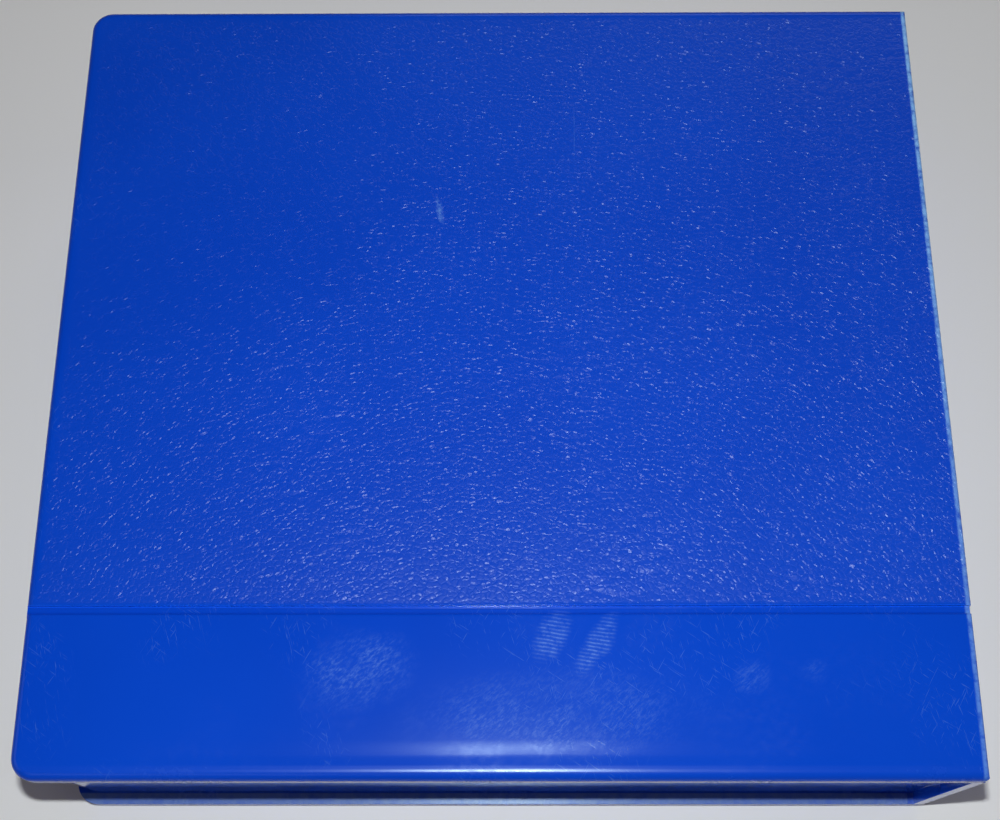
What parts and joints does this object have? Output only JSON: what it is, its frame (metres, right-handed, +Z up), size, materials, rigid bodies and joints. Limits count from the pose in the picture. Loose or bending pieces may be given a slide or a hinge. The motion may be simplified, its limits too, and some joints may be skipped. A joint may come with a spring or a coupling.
{
  "type": "board game carrying case",
  "caption": "Blue clamshell carrying case for a fleet guessing game, with a hinged lid, perforated grids, plug-in ships, pegs and storage wells",
  "frame": {"origin": "centre of the base plate's outer face, which the closed case rests on", "axes": "+X from the opening edge to the spine, +Y from front to rear, +Z up through the closed case"},
  "size_m": [0.2597, 0.235, 0.072],
  "materials": {
    "case_plastic": "glossy, with a leather-grain field",
    "panel_plastic": "satin",
    "tray_plastic": "satin",
    "strip_plastic": "matte",
    "ship_plastic": "satin",
    "white_plastic": "glossy",
    "red_plastic": "glossy",
    "pin_steel": "drawn wire"
  },
  "bodies": {
    "base": {"base_shell": "case_plastic", "hinge_pin_front": "pin_steel", "hinge_pin_rear": "pin_steel", "ocean_grid": "panel_plastic", "ocean_number_strip": "strip_plastic", "ocean_letter_strip": "strip_plastic", "ship_tray": "tray_plastic", "peg_tray": "tray_plastic", "white_pegs": "white_plastic", "red_pegs": "red_plastic"},
    "lid": {"lid_shell": "case_plastic", "target_grid": "panel_plastic", "target_number_strip": "strip_plastic", "target_letter_strip": "strip_plastic", "peg_cover": "tray_plastic", "target_white_pegs": "white_plastic", "target_red_pegs": "red_plastic"},
    "carrier_body": {"aircraft_carrier": "ship_plastic"},
    "dreadnought_body": {"dreadnought": "ship_plastic"},
    "cruiser_body": {"cruiser": "ship_plastic"},
    "submarine_body": {"submarine": "ship_plastic"},
    "patrol_boat_body": {"patrol_boat": "ship_plastic"}
  },
  "joints": [
    {"name": "lid_hinge", "type": "hinge", "parent": "base", "child": "lid", "pos_m": [0.128, 0, 0.036], "axis": [0, 1, 0], "range_deg": [0, 100]},
    {"name": "carrier_lift", "type": "slide", "parent": "base", "child": "carrier_body", "axis": [0, 0, 1], "range_m": [0, 0.006]},
    {"name": "dreadnought_lift", "type": "slide", "parent": "base", "child": "dreadnought_body", "axis": [0, 0, 1], "range_m": [0, 0.006]},
    {"name": "cruiser_lift", "type": "slide", "parent": "base", "child": "cruiser_body", "axis": [0, 0, 1], "range_m": [0, 0.006]},
    {"name": "submarine_lift", "type": "slide", "parent": "base", "child": "submarine_body", "axis": [0, 0, 1], "range_m": [0, 0.006]},
    {"name": "patrol_boat_lift", "type": "slide", "parent": "base", "child": "patrol_boat_body", "axis": [0, 0, 1], "range_m": [0, 0.006]}
  ]
}
